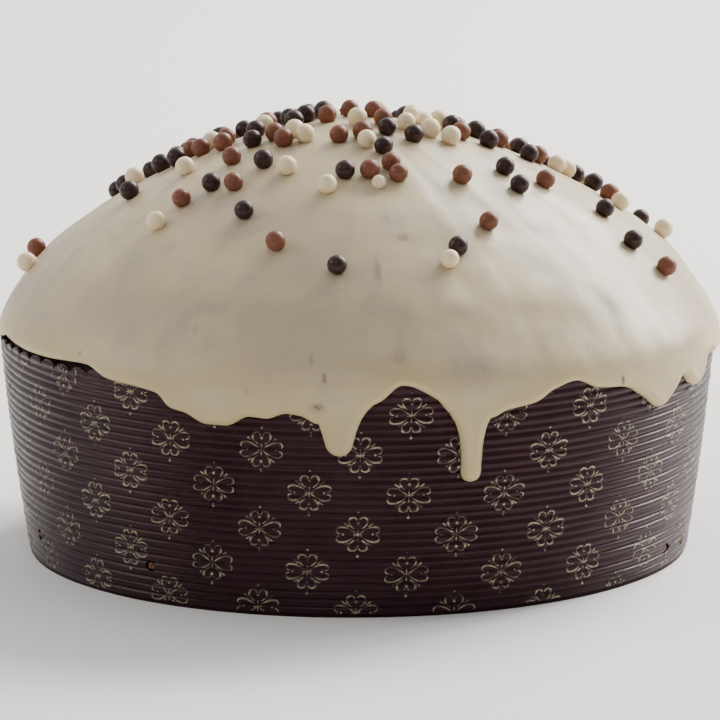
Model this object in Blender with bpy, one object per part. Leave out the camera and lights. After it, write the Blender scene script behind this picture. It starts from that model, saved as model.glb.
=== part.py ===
"""Low panettone in its fluted paper mould, iced with white chocolate and strewn with crisp chocolate pearls.

Three solids stand round the Z axis on the table plane Z = 0, with the shown side towards -Y:
the paper mould, the baked cake that fills it, and the icing with its runs and its pearls.
Bearings are in degrees round the axis, 0 at the front (-Y) and positive towards +X.
"""

import math
import random

import bmesh
import bpy
import numpy as np
from mathutils import Vector

MM = 0.001

# Paper mould: a cone of fluted paper, higher at the front right than at the back.
MOULD_BASE_RADIUS = 96.7 * MM
MOULD_FLARE = 0.135
MOULD_RIM_HEIGHT = 66.0 * MM
RIM_RISE = 2.6 * MM
RIM_HIGH_BEARING = 20.0
PAPER_THICKNESS = 1.5 * MM
FLUTE_PITCH = 2.33 * MM
FLUTE_DEPTH = 0.7 * MM
FLUTE_COUNT = 30
FOOT_HEIGHT = 0.6 * MM
MOULD_SIDES = 40

# Holes of the two skewers that the cake hangs from while it cools: bearing, height.
SKEWER_HOLES = ((-70.0, 10.0 * MM), (-37.0, 11.0 * MM), (66.0, 6.5 * MM), (75.0, 5.5 * MM))
SKEWER_RADIUS = 1.7 * MM
SKEWER_SIDES = 8
DRILL_LENGTH = 12.0 * MM

# Domes: rise * (1 - u ** FALL) ** FULLNESS, with a soft crown in the middle.
ICING_RADIUS = 106.3 * MM
DOME_BASE = 60.7 * MM
DOME_RISE = 60.9 * MM
DOME_FALL = 1.8
DOME_FULLNESS = 0.62
CROWN_RISE = 5.1 * MM
CROWN_SPREAD = 36.0 * MM
CRUST_RADIUS = 103.0 * MM
CRUST_DROP = 2.4 * MM
CRUST_NECK = 2.0 * MM
GAP = 0.35 * MM
# Rings of the domes, from the shoulder to the top: distance from the axis, points.
DOME_RINGS = (
    (99.0 * MM, 40),
    (93.0 * MM, 40),
    (84.0 * MM, 40),
    (72.0 * MM, 36),
    (56.0 * MM, 36),
    (38.0 * MM, 24),
    (20.0 * MM, 12),
)

# Icing on the paper: its thickness, its rounded lower edge and its turn over the rim.
SKIRT_THICKNESS = 1.5 * MM
SHOULDER_RISE = 3.2 * MM
SHOULDER_RADIUS = 103.6 * MM
SHOULDER_CLEARANCE = 0.8 * MM
BEND_RISE = 1.4 * MM
BEAD_HEIGHT = 1.1 * MM
SKIRT_COLUMNS = 84
COLUMN_SPACING = 0.3
# Its lower edge, where it turns: bearing, height in millimetres. Behind, it keeps the level of both ends.
SHOWN_EDGE = (
    (-98, 67.6), (-78, 67.4), (-66, 68.3), (-59, 67.7), (-47, 69.1), (-41.5, 66.3), (-35, 65.2),
    (-32.6, 64.3), (-30.2, 60.3), (-27.6, 59.3), (-24, 56.6), (-20.7, 56.7), (-16.7, 59.8), (-9, 61.1),
    (0, 61.6), (3, 64.2), (6.9, 69.4), (12.4, 64.5), (14.3, 60.2), (17, 58.3), (21, 58.6), (28, 61.8),
    (31, 65.0), (35.3, 66.4), (40, 63.2), (45.4, 61.6), (49.5, 58.0), (54.2, 52.6), (57.9, 56.0),
    (61.8, 59.3), (64.5, 56.6), (68, 54.6), (70.5, 56.2), (73.5, 62.8), (78, 60.4), (86, 59.6), (98, 67.6),
)
EDGE_ABOVE_RIM = 1.5 * MM
# Tongues that ran on: bearing, then in millimetres the height of the tip, its radius and the length;
# widening per length, and how far the root flares out on each side.
SHOWN_TONGUES = ((-2.9, 48.8, 3.0, 15.0, 0.25, 3.5), (17.6, 40.1, 2.75, 20.0, 0.03, 3.0))
TONGUE_STEPS = 60
# Runs of the back: wide bells by a seeded rule, and a tongue on every fourth.
BACK_RUNS_FROM = 108.0
BACK_RUNS_TO = 252.0
BACK_RUN_STEP = 13.0
BACK_RUN_SEED = 5

# Pearls. Those that stand apart on the shown slope are placed by hand: bearing, distance in millimetres.
PEARL_RADIUS = 2.6 * MM
PEARL_SINK = 0.45 * MM
SHOWN_PEARLS = (
    (-4, 78.5), (19.3, 78), (22.5, 74), (-18.5, 71.5), (34, 66), (-31, 61.5), (-54, 70), (-55, 60.5),
    (-51.5, 52.5), (-43.5, 50.5), (-10, 48), (8, 45.5), (16, 43), (-4.5, 40.5), (5.5, 40.5), (-29.5, 40),
    (-43, 38.5), (15, 37.5), (40, 46.5), (57, 55), (64, 47), (72, 92.5), (71.5, 83), (78.5, 72.5),
    (72.5, 56.5), (99, 90), (95.5, 76.5), (-75.5, 50.5), (-83, 65.5), (-90, 95), (-97.5, 93.5), (-61, 40.5),
)
# A crowd lies round the top, somewhat to the back, and ends in front at a line bent back on both sides.
CROWD_COUNT = 112
CROWD_REACH = (78.0, 46.0)
CROWD_MIDDLE = 12.0
CROWD_FRONT = 33.0
CROWD_SLOPE = 0.75
# A few more lie apart on the back slope.
BACK_PEARLS = 14
BACK_PEARLS_SPAN = 80.0
BACK_PEARLS_DISTANCE = (50.0, 92.0)
PEARL_SPACING = 5.5
PEARL_SEED = 19


def around(bearing, radius, height):
    """The point at a bearing in degrees, a distance from the axis and a height."""
    turn = math.radians(bearing)
    return Vector((radius * math.sin(turn), -radius * math.cos(turn), height))


def new_object(name, mesh_maker, material):
    """A shown object whose mesh is closed and faces outwards."""
    mesh = bpy.data.meshes.new(name)
    mesh_maker.normal_update()
    bmesh.ops.recalc_face_normals(mesh_maker, faces=mesh_maker.faces)
    mesh_maker.to_mesh(mesh)
    mesh_maker.free()
    mesh.shade_smooth()
    mesh.set_sharp_from_angle(angle=math.radians(35))
    mesh.materials.append(material)
    obj = bpy.data.objects.new(name, mesh)
    bpy.context.scene.collection.objects.link(obj)
    return obj


def finish(name, colour, roughness):
    """A plain food or paper material."""
    material = bpy.data.materials.new(name)
    material.use_nodes = True
    shader = material.node_tree.nodes["Principled BSDF"]
    shader.inputs["Base Color"].default_value = (*colour, 1.0)
    shader.inputs["Roughness"].default_value = roughness
    shader.inputs["Metallic"].default_value = 0.0
    return material


def remove_all():
    for obj in list(bpy.data.objects):
        bpy.data.objects.remove(obj)


def apply_boolean(obj, operation, others, solver):
    """Joins a collection of helpers to an object, or cuts it with them, and removes the helpers."""
    helpers = bpy.data.collections.new(obj.name + "_helpers")
    bpy.context.scene.collection.children.link(helpers)
    for other in others:
        bpy.context.scene.collection.objects.unlink(other)
        helpers.objects.link(other)
    modifier = obj.modifiers.new(operation.lower(), "BOOLEAN")
    modifier.operand_type = "COLLECTION"
    modifier.operation = operation
    modifier.solver = solver
    modifier.collection = helpers
    graph = bpy.context.evaluated_depsgraph_get()
    joined = bpy.data.meshes.new_from_object(obj.evaluated_get(graph))
    obj.modifiers.clear()
    obj.data = joined
    for other in list(helpers.objects):
        bpy.data.objects.remove(other)
    bpy.data.collections.remove(helpers)


class Rings:
    """A surface made of closed rings of points, each joined to the next whatever their counts."""

    def __init__(self):
        self.mesh = bmesh.new()
        self.first = None
        self.last = None

    def ring(self, bearings, point):
        """Adds a ring through point(bearing) for each bearing, in rising order, and joins it on."""
        made = [(b, self.mesh.verts.new(point(b))) for b in bearings]
        if self.last is None:
            self.first = made
        else:
            self.join(self.last, made)
        self.last = made

    def join(self, one, two):
        """Fills between two rings with quads where the bearings agree, and with triangles elsewhere."""
        i, j = 0, 0
        while i < len(one) or j < len(two):
            a, b = one[i % len(one)][1], two[j % len(two)][1]
            next_one = one[(i + 1) % len(one)]
            next_two = two[(j + 1) % len(two)]
            bearing_one = next_one[0] + 360.0 * ((i + 1) // len(one)) if i < len(one) else math.inf
            bearing_two = next_two[0] + 360.0 * ((j + 1) // len(two)) if j < len(two) else math.inf
            if abs(bearing_one - bearing_two) < 1e-6:
                self.mesh.faces.new((a, next_one[1], next_two[1], b))
                i, j = i + 1, j + 1
            elif bearing_one < bearing_two:
                self.mesh.faces.new((a, next_one[1], b))
                i += 1
            else:
                self.mesh.faces.new((a, next_two[1], b))
                j += 1

    def cap(self, ring, height):
        """Closes a ring with a fan to the axis."""
        tip = self.mesh.verts.new((0.0, 0.0, height))
        for (_, a), (_, b) in zip(ring, ring[1:] + ring[:1]):
            self.mesh.faces.new((a, b, tip))


def even(count):
    return [360.0 * k / count for k in range(count)]


def paper_radius(height):
    """Distance from the axis to the crest of the flutes."""
    return MOULD_BASE_RADIUS + MOULD_FLARE * height


def rim_height(bearing):
    """Height of the paper's cut edge, which lies in one tilted plane."""
    return MOULD_RIM_HEIGHT + RIM_RISE * math.cos(math.radians(bearing - RIM_HIGH_BEARING))


def dome_height(radius, outer_radius, drop=0.0):
    """Height of a dome of the given outer radius, at a distance from the axis."""
    share = min(radius / outer_radius, 1.0)
    bulge = (DOME_RISE - drop) * (1.0 - share**DOME_FALL) ** DOME_FULLNESS
    return DOME_BASE + bulge + CROWN_RISE * math.exp(-((radius / CROWN_SPREAD) ** 2))


def dome_radius(height, outer_radius, drop=0.0):
    """Distance from the axis at which a dome has the given height, near its shoulder."""
    share = max(height - DOME_BASE, 0.0) / (DOME_RISE - drop)
    return outer_radius * (1.0 - share ** (1.0 / DOME_FULLNESS)) ** (1.0 / DOME_FALL)


def back_runs():
    """The bells and the tongues of the side that is not shown."""
    draw = random.Random(BACK_RUN_SEED)
    bells, tongues = [], []
    for k in range(int((BACK_RUNS_TO - BACK_RUNS_FROM) / BACK_RUN_STEP) + 1):
        bearing = BACK_RUNS_FROM + BACK_RUN_STEP * (k + draw.uniform(-0.25, 0.25))
        bells.append((bearing, draw.uniform(4.0, 9.0), draw.uniform(5.0, 8.0)))
        if k % 4 == 1:
            tongues.append((bearing + 2.0, draw.uniform(44.0, 52.0), 2.9, 22.0, 0.05, 6.0))
    return bells, tongues


BACK_BELLS, BACK_TONGUES = back_runs()
TONGUES = SHOWN_TONGUES + tuple(BACK_TONGUES)


def shown_edge(bearing):
    """The edge through its measured turns, level at each high and low one, in millimetres."""
    places, heights = np.array(SHOWN_EDGE).T
    steps = np.diff(places)
    rises = np.diff(heights) / steps
    slopes = np.zeros(len(places))
    going_on = rises[:-1] * rises[1:] > 0.0
    slopes[1:-1][going_on] = 2.0 / (1.0 / rises[:-1][going_on] + 1.0 / rises[1:][going_on])
    bearing = np.clip(bearing, places[0], places[-1])
    k = np.clip(np.searchsorted(places, bearing) - 1, 0, len(steps) - 1)
    t = (bearing - places[k]) / steps[k]
    rise = heights[k] + (heights[k + 1] - heights[k]) * t * t * (3.0 - 2.0 * t)
    return rise + steps[k] * t * (1.0 - t) * (slopes[k] * (1.0 - t) - slopes[k + 1] * t)


def tongue_widths(radius, length, widening, flare):
    """Heights above a tongue's tip, and its half width at each: round tip, then nearly straight sides."""
    heights = np.linspace(0.0, length, TONGUE_STEPS)
    tip = radius * np.sqrt(1.0 - (1.0 - np.minimum(heights / radius, 1.0)) ** 2)
    return heights, tip + widening * heights + flare * (heights / length) ** 5


def edge_height(bearing):
    """Height of the icing's lower edge."""
    turned = (bearing + 180.0) % 360.0 - 180.0
    height = shown_edge(turned)
    for centre, reach, half_width in BACK_BELLS:
        away = (turned - centre + 180.0) % 360.0 - 180.0
        height = height - reach * np.exp(-(np.abs(away / half_width) ** 3))
    for centre, tip, *shape in TONGUES:
        heights, widths = tongue_widths(*shape)
        away = (turned - centre + 180.0) % 360.0 - 180.0
        aside = np.abs(np.radians(away)) * paper_radius(tip * MM) / MM
        height = np.minimum(height, tip + np.interp(aside, widths, heights, right=math.inf))
    return min(float(height) * MM, rim_height(bearing) + EDGE_ABOVE_RIM)


def skirt_bearings():
    """Bearings for the icing's edge: even all round, and closer at each tongue."""
    found = set(even(SKIRT_COLUMNS))
    for centre, tip, *shape in TONGUES:
        heights, widths = tongue_widths(*shape)
        for share in (0.0, 0.02, 0.08, 0.3, 0.8, 1.0):
            aside = math.degrees(float(np.interp(share * heights[-1], heights, widths)) * MM / paper_radius(tip * MM))
            found |= {(centre - aside) % 360.0, (centre + aside) % 360.0}
    spaced = []
    for bearing in sorted(found):
        if not spaced or bearing - spaced[-1] > COLUMN_SPACING:
            spaced.append(bearing)
    return spaced


def make_mould():
    """The fluted paper cup: flat base, fluted wall cut along the tilted rim, smooth lining."""
    rings = Rings()
    columns = even(MOULD_SIDES)
    wall_top = FOOT_HEIGHT + FLUTE_COUNT * FLUTE_PITCH

    def level(radius, height):
        rings.ring(columns, lambda b: around(b, radius, height))

    level(MOULD_BASE_RADIUS - PAPER_THICKNESS, 0.0)
    rings.cap(rings.first, 0.0)
    level(paper_radius(0.0) - FLUTE_DEPTH / 2, 0.0)
    for k in range(FLUTE_COUNT):
        groove = FOOT_HEIGHT + FLUTE_PITCH * k
        crest = groove + FLUTE_PITCH / 2
        level(paper_radius(groove) - FLUTE_DEPTH, groove)
        level(paper_radius(crest), crest)
    level(paper_radius(wall_top) - FLUTE_DEPTH, wall_top)
    level(paper_radius(wall_top) - PAPER_THICKNESS, wall_top)
    level(paper_radius(PAPER_THICKNESS) - PAPER_THICKNESS, PAPER_THICKNESS)
    rings.cap(rings.last, PAPER_THICKNESS)

    mesh = rings.mesh
    high = around(RIM_HIGH_BEARING, 1.0, 0.0)
    slope = RIM_RISE / paper_radius(MOULD_RIM_HEIGHT)
    cut = bmesh.ops.bisect_plane(
        mesh,
        geom=mesh.verts[:] + mesh.edges[:] + mesh.faces[:],
        plane_co=(0.0, 0.0, MOULD_RIM_HEIGHT),
        plane_no=(-slope * high.x, -slope * high.y, 1.0),
        clear_outer=True,
    )
    edges = [e for e in cut["geom_cut"] if isinstance(e, bmesh.types.BMEdge)]
    bmesh.ops.bridge_loops(mesh, edges=edges)
    mould = new_object("paper_mould", mesh, finish("brown_paper", (0.075, 0.045, 0.055), 0.5))

    cutters = []
    for bearing, height in SKEWER_HOLES:
        drill = bmesh.new()
        bmesh.ops.create_cone(
            drill,
            cap_ends=True,
            segments=SKEWER_SIDES,
            radius1=SKEWER_RADIUS,
            radius2=SKEWER_RADIUS,
            depth=DRILL_LENGTH,
        )
        cutter = new_object("skewer_hole", drill, mould.data.materials[0])
        cutter.location = around(bearing, paper_radius(height), height)
        cutter.rotation_euler = around(bearing, 1.0, 0.0).to_track_quat("Z", "Y").to_euler()
        cutter.hide_render = True
        cutter.display_type = "WIRE"
        cutters.append(cutter)
    apply_boolean(mould, "DIFFERENCE", cutters, "EXACT")


def make_cake():
    """The baked dough: it fills the mould and rises above it in a dome."""
    rings = Rings()
    columns = even(MOULD_SIDES)
    floor = PAPER_THICKNESS + GAP
    lining = PAPER_THICKNESS + GAP

    def level(radius, height):
        rings.ring(columns, lambda b: around(b, radius, height))

    level(paper_radius(floor) - lining, floor)
    rings.cap(rings.first, floor)
    level(paper_radius(DOME_BASE - CRUST_NECK) - lining, DOME_BASE - CRUST_NECK)
    level(CRUST_RADIUS, DOME_BASE + CRUST_NECK / 2)
    for radius, count in DOME_RINGS:
        rings.ring(even(count), lambda b: around(b, radius, dome_height(radius, CRUST_RADIUS, CRUST_DROP)))
    rings.cap(rings.last, dome_height(0.0, CRUST_RADIUS, CRUST_DROP))
    new_object("cake", rings.mesh, finish("baked_crust", (0.30, 0.13, 0.045), 0.7))


def skirt_radius(bearing, height):
    """Outer radius of the icing where it lies on the paper, and where it rounds over the rim."""
    above = max(height - rim_height(bearing) - GAP, 0.0)
    return paper_radius(height) + GAP + SKIRT_THICKNESS - above**2 / (2 * SHOULDER_RISE)


def make_icing():
    """The poured shell: a dome outside, runs over the paper, and a matching hollow under it."""
    rings = Rings()
    columns = skirt_bearings()
    for radius, count in reversed(DOME_RINGS):
        rings.ring(even(count), lambda b: around(b, radius, dome_height(radius, ICING_RADIUS)))
    rings.cap(rings.first, dome_height(0.0, ICING_RADIUS))

    def bend_height(b):
        return max(edge_height(b) + BEAD_HEIGHT, rim_height(b)) + BEND_RISE

    def shoulder_height(b):
        return max(dome_height(SHOULDER_RADIUS, ICING_RADIUS), bend_height(b) + SHOULDER_CLEARANCE)

    def bead(b, radius_share, height_share):
        """A point of the rounded lower edge: shares of its thickness and of its height."""
        height = edge_height(b) + BEAD_HEIGHT * height_share
        inner = paper_radius(height) + GAP
        return around(b, inner + radius_share * (skirt_radius(b, height) - inner), height)

    rings.ring(even(SKIRT_COLUMNS), lambda b: around(b, SHOULDER_RADIUS, shoulder_height(b)))
    rings.ring(columns, lambda b: around(b, skirt_radius(b, bend_height(b)), bend_height(b)))
    rings.ring(columns, lambda b: bead(b, 1.0, 1.0))
    rings.ring(columns, lambda b: bead(b, 0.8, 0.25))
    rings.ring(columns, lambda b: bead(b, 0.4, 0.0))
    rings.ring(columns, lambda b: bead(b, 0.0, 0.35))

    def step_height(b):
        return max(rim_height(b) + GAP, edge_height(b) + BEAD_HEIGHT)

    hollow = CRUST_RADIUS + GAP
    hollow_drop = CRUST_DROP - GAP
    rings.ring(columns, lambda b: around(b, paper_radius(step_height(b)) + GAP, step_height(b)))
    rings.ring(even(MOULD_SIDES), lambda b: around(b, dome_radius(step_height(b), hollow, hollow_drop), step_height(b)))
    for radius, count in DOME_RINGS:
        rings.ring(even(count), lambda b: around(b, radius, dome_height(radius, hollow, hollow_drop)))
    rings.cap(rings.last, dome_height(0.0, hollow, hollow_drop))
    return new_object("icing", rings.mesh, finish("white_chocolate", (0.72, 0.66, 0.52), 0.35))


def pearl_places():
    """Bearing and distance of each pearl: the hand-placed ones, then the seeded crowd and the back's."""
    places = list(SHOWN_PEARLS)
    draw = random.Random(PEARL_SEED)

    def add(x, y):
        """Takes a spot in millimetres if no pearl is near it."""
        spot = Vector((x, y, 0.0))
        if all((spot - around(b, d, 0.0)).length > PEARL_SPACING for b, d in places):
            places.append((math.degrees(math.atan2(x, -y)), math.hypot(x, y)))

    while len(places) < len(SHOWN_PEARLS) + CROWD_COUNT:
        turn, reach = draw.uniform(0.0, math.tau), math.sqrt(draw.random())
        x = CROWD_REACH[0] * reach * math.cos(turn)
        y = CROWD_MIDDLE + CROWD_REACH[1] * reach * math.sin(turn)
        if y > CROWD_SLOPE * abs(x) - CROWD_FRONT:
            add(x, y)
    while len(places) < len(SHOWN_PEARLS) + CROWD_COUNT + BACK_PEARLS:
        bearing = 180.0 + draw.uniform(-BACK_PEARLS_SPAN, BACK_PEARLS_SPAN)
        spot = around(bearing, draw.uniform(*BACK_PEARLS_DISTANCE), 0.0)
        add(spot.x, spot.y)
    return places


def make_pearl(icing, bearing, distance, material):
    """One pearl, sunk a little into the icing and standing square to the facet under it."""
    ball = bmesh.new()
    bmesh.ops.create_icosphere(ball, subdivisions=1, radius=PEARL_RADIUS)
    pearl = new_object("pearl", ball, material)
    _, surface, up, _ = icing.ray_cast(around(bearing, distance * MM, 1.0), (0.0, 0.0, -1.0))
    pearl.location = surface + up * (PEARL_RADIUS - PEARL_SINK)
    pearl.rotation_euler = up.to_track_quat("Z", "Y").to_euler()
    return pearl


def make_iced_top():
    """The icing with its pearls fused on."""
    icing = make_icing()
    chocolate = finish("milk_chocolate", (0.20, 0.075, 0.045), 0.4)
    pearls = [make_pearl(icing, bearing, distance, chocolate) for bearing, distance in pearl_places()]
    apply_boolean(icing, "UNION", pearls, "EXACT")


def main():
    remove_all()
    make_mould()
    make_cake()
    make_iced_top()


main()
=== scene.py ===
"""Looks of the iced panettone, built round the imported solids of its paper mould, cake and icing.

Bearings are in degrees round the Z axis, 0 at the shown front (-Y) and positive towards +X.
Lengths are in millimetres until a mesh is made.
"""

import math
import random

import bmesh
import bpy
import numpy as np
from mathutils import Euler, Matrix, Vector, kdtree, noise


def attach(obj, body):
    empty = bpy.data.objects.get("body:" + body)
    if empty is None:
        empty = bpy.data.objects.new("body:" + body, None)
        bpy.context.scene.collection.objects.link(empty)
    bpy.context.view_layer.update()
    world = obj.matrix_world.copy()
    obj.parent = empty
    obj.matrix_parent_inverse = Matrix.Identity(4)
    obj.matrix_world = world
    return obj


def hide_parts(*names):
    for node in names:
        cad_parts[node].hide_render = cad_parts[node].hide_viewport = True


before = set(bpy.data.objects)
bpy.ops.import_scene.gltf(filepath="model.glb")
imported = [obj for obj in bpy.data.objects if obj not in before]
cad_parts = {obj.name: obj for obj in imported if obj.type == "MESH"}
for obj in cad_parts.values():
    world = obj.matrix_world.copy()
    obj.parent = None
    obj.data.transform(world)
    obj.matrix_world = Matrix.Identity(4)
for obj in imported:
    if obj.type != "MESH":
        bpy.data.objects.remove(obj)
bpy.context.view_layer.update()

MM = 0.001

# Paper mould: a faintly bulged cone of fluted paper whose cut edge is scalloped and higher at the front.
MOULD_BASE_RADIUS = 96.7
MOULD_FLARE = 0.165
MOULD_BULGE = 0.00062
RIM_HEIGHT = 64.4
RIM_RISE = 4.8
RIM_HIGH_BEARING = 3.0
RIM_RISE_SPREAD = 55.0
PAPER_THICKNESS = 1.5
FLUTE_PITCH = 2.33
FLUTE_DEPTH = 0.75
FLUTE_ROUNDNESS = 0.62
# The radius of each flute is uneven: height of a wave, number round the mould, shift from flute to flute.
FLUTE_WAVES = ((0.06, 5.0, 2.4), (0.05, 13.0, -4.1))
FLUTE_WAVES_MOST = 0.11
FLUTE_PHASES = (0.0, 0.1, 0.3, 0.5, 0.7, 0.9)
EVEN_FLUTES = 26
RIM_ROWS = 16
FOOT_HEIGHT = 0.6
SCALLOPS = 87
SCALLOP_SAMPLES = 6
SCALLOP_DEPTH = 1.6
SCALLOP_ROUNDNESS = 0.8
SCALLOP_MEAN = 0.7
# The teeth are uneven too: height of a wave, number round the mould, phase.
SCALLOP_WAVES = ((0.22, 11, 1.0), (0.14, 29, 0.0))
# Skewers went through the wall at these bearings and heights, and crumb shows in the holes.
SKEWER_HOLES = ((-70.0, 10.0), (-37.0, 11.0), (66.0, 6.5), (75.0, 5.5))
SKEWER_RADIUS = 1.6
DRILL_LENGTH = 12.0
DRILL_SIDES = 20
CRUMB_RADIUS = 1.25
CRUMB_BEHIND_WALL = 0.1
CRUMB_ROUGHNESS = 0.35
CRUMB_GRAIN = 0.7
CRUMB_SHIFT = 7.0

# Dome of the icing: rise * (1 - u ** fall) ** fullness, with a soft crown and a fuller shoulder.
DOME_RADIUS = 105.6
DOME_BASE = 60.7
DOME_RISE = 60.9
DOME_FALL = 1.8
DOME_FULLNESS = 0.62
CROWN_RISE = 4.0
CROWN_SPREAD = 46.0
SHOULDER_SWELL = 1.7
SHOULDER_PLACE = 94.0
SHOULDER_WIDTH = 12.0
HOLLOW_RADIUS = 103.35
HOLLOW_DROP = 2.05
HOLLOW_CROWN = (5.1, 36.0)
HOLLOW_RINGS = (99.0, 93.0, 84.0, 72.0, 56.0, 38.0, 20.0)
HOLLOW_ABOVE_RIM = 0.35
HOLLOW_ABOVE_EDGE = 0.8
DOME_COLUMNS = 600
DOME_RING_STEP = 1.35
DOME_SAMPLES = 400

# Skirt of icing over the paper: its thickness, how it leaves the shoulder, how its lower edge is rounded.
SKIRT_TOP = 75.2
SKIRT_BELOW_DOME = 0.6
SKIRT_THICKNESS = 1.2
SKIRT_INTO_PAPER = 0.3
SKIRT_COVER = 0.75
SKIRT_EXTRA = 0.6
SKIRT_THICK_BEARING = 55.0
SKIRT_ROWS = 22
SKIRT_ROWS_CROWDING = 1.9
SHOULDER_BLEND = 16.0
SHOULDER_ROUNDING = 1.1
EDGE_ROUNDING = 1.9
EDGE_STEP = 0.55
EDGE_SAMPLES = 36001
BEAD_RISE = 0.3
BEAD_WIDTH = 1.6
DRIP_BULB = 0.5
DRIP_BULB_LENGTH = 1.2
# Its lower edge, where it turns: bearing, height. Behind, it keeps the level of both ends.
SHOWN_EDGE = (
    (-98, 63.0), (-86, 63.4), (-77, 66.7), (-66, 66.5), (-59, 66.8), (-47.5, 68.0), (-42.3, 65.2),
    (-36, 64.2), (-32.6, 63.2), (-30.2, 59.4), (-27.6, 58.4), (-24, 55.7), (-20.7, 55.8), (-16.9, 58.8),
    (-14.2, 58.5), (-11, 60.2), (-8.8, 59.6), (-6.2, 57.4), (-3, 57.2), (0, 61.2), (3.4, 63.8), (6.9, 68.4),
    (12.2, 64.0), (14.3, 59.8), (17, 57.6), (21, 57.6), (23.5, 59.4), (28.4, 60.8), (31.6, 63.9),
    (35.7, 65.6), (40.4, 62.5), (46.4, 61.0), (50.8, 57.2), (56, 52.3), (59.4, 55.7), (62.6, 59.7),
    (65.3, 56.6), (68.6, 54.4), (71, 56.2), (73.5, 62.8), (78, 60.4), (86, 59.6), (98, 63.4),
)
EDGE_ABOVE_RIM = 2.2
# Tongues that ran on: bearing, height of the tip, its radius, length, widening, flare at the root.
SHOWN_TONGUES = ((-2.9, 48.0, 3.0, 15.0, 0.25, 3.0), (17.9, 39.3, 2.75, 20.0, 0.03, 3.0))
TONGUE_STEPS = 60
TONGUE_FLARE_POWER = 5
# Behind, bells of icing follow one another, and a tongue runs on near every fourth. Pairs are ranges.
BACK_RUNS_FROM = 108.0
BACK_RUNS_TO = 252.0
BACK_RUN_STEP = 13.0
BACK_RUN_SHIFT = (-0.25, 0.25)
BACK_RUN_SEED = 5
BACK_BELL_REACH = (4.0, 9.0)
BACK_BELL_HALF_WIDTH = (5.0, 8.0)
BACK_BELL_POWER = 3
BACK_TONGUE_EVERY = 4
BACK_TONGUE_ASIDE = 2.0
BACK_TONGUE_TIP = (44.0, 52.0)
BACK_TONGUE_SHAPE = (2.9, 22.0, 0.05, 6.0)

# Surface of the poured icing: heights and sizes of its lumps, of its ripples, which grow towards the right
# from their least share, and of the marks down the slope, which grow away from the top.
LUMPS = ((0.9, 44.0), (0.45, 18.0))
RIPPLES = (0.3, 9.0)
RIPPLES_LEAST = 0.3
RIPPLES_GROW = 60.0
MARKS = ((0.22, 10.0), (0.04, 4.0))
MARKS_ACROSS = 0.1
MARKS_DOWN = 0.35
MARKS_FROM = 5.0
MARKS_FULL = 60.0
# Lumps fade out below the shoulder, and marks keep a share of their strength there.
LUMPS_FROM = 62.0
LUMPS_FADE = 14.0
MARKS_LOW_SHARE = 0.4
# From the top to this radius, what stands out turns from upwards to mostly outwards.
STEEP_RADIUS = 90.0
STEEP_SHARE = 0.6
# Near its lower edge the icing is calm, and its colour is the edge's.
CALM_EDGE = 2.5
EDGE_TINT_REACH = 6.0
EDGE_TINT_POWER = 1.3

# Pearls. Their sizes and the flatness of two of their axes vary in these ranges.
PEARL_RADIUS = 3.0
PEARL_SIZES = (0.94, 1.0)
PEARL_WIDTHS = (0.96, 1.0)
PEARL_HEIGHTS = (0.95, 1.0)
PEARL_KNOBS = 0.012
PEARL_KNOB_SIZE = 1.6
PEARL_SINK = 0.85
ABOVE_ALL = 1000.0
# Those that stand apart on the shown slope are listed one by one: bearing, distance, chocolate.
SHOWN_PEARLS = (
    (-4, 78.5, "dark"), (19.3, 78, "white"), (22.5, 74, "dark"), (-18.5, 71.5, "milk"), (34, 66, "milk"),
    (-31, 61.5, "dark"), (-54, 70, "white"), (-55, 60.5, "milk"), (-51.5, 52.5, "dark"),
    (-43.5, 50.5, "milk"), (-10, 48, "white"), (8, 45.5, "white"), (16, 43, "milk"), (-4.5, 40.5, "dark"),
    (5.5, 40.5, "milk"), (-29.5, 40, "white"), (-43, 38.5, "dark"), (15, 37.5, "milk"), (40, 46.5, "milk"),
    (57, 55, "dark"), (64, 47, "dark"), (72, 92.5, "milk"), (71.5, 83, "dark"), (78.5, 72.5, "dark"),
    (72.5, 56.5, "milk"), (99, 90, "white"), (95.5, 76.5, "white"), (-75.5, 50.5, "white"),
    (-83, 65.5, "dark"), (-90, 95, "white"), (-97.5, 93.5, "milk"), (-61, 40.5, "milk"),
)
SMALL_PEARL = (8, 45.5)
SMALL_PEARL_SCALE = 0.72
# A crowd lies round the top, somewhat to the back, and ends in front at a line bent back on both sides.
CROWD_COUNT = 112
CROWD_REACH = (78.0, 46.0)
CROWD_MIDDLE = 12.0
CROWD_FRONT = 33.0
CROWD_SLOPE = 0.75
# A few more lie apart on the back slope.
BACK_PEARLS = 14
BACK_PEARLS_SPAN = 80.0
BACK_PEARLS_DISTANCE = (50.0, 92.0)
PEARL_SPACING = 5.5
PEARL_SEED = 19

# Printed ornament: rows and staggered columns of a four-petalled flower, leaning a little.
PRINT_ROW_STEP = 11.7
PRINT_TOP_ROW = 60.0
PRINT_COLUMN_STEP = 14.07
PRINT_COLUMNS = 23
PRINT_ROWS = range(-2, 8)
PRINT_DROP = 0.5
PRINT_LEAN = 0.019
PRINT_TURN = 0.07
PRINT_LIFT = 0.06
PRINT_STEP = 0.4
PRINT_ABOVE_FOOT = 0.9
PRINT_BELOW_RIM = 0.4
PRINT_UNDER_ICING = 2.5
PRINT_SAMPLES = 14401
CURVE_SAMPLES = 24
RAY_SAMPLES = 8
# One half of a petal as two curves, in shares of its length and of its half width: side, then rolled lobe.
LONG_SIDE = ((0.09, 0.12), (0.38, 0.84), (0.66, 1.14), (0.86, 1.0))
SHORT_SIDE = ((0.34, 0.40), (0.50, 0.84), (0.66, 1.10), (0.84, 1.0))
LOBE = ((0.86, 1.0), (1.09, 0.86), (1.05, 0.12), (0.84, 0.16))
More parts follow.
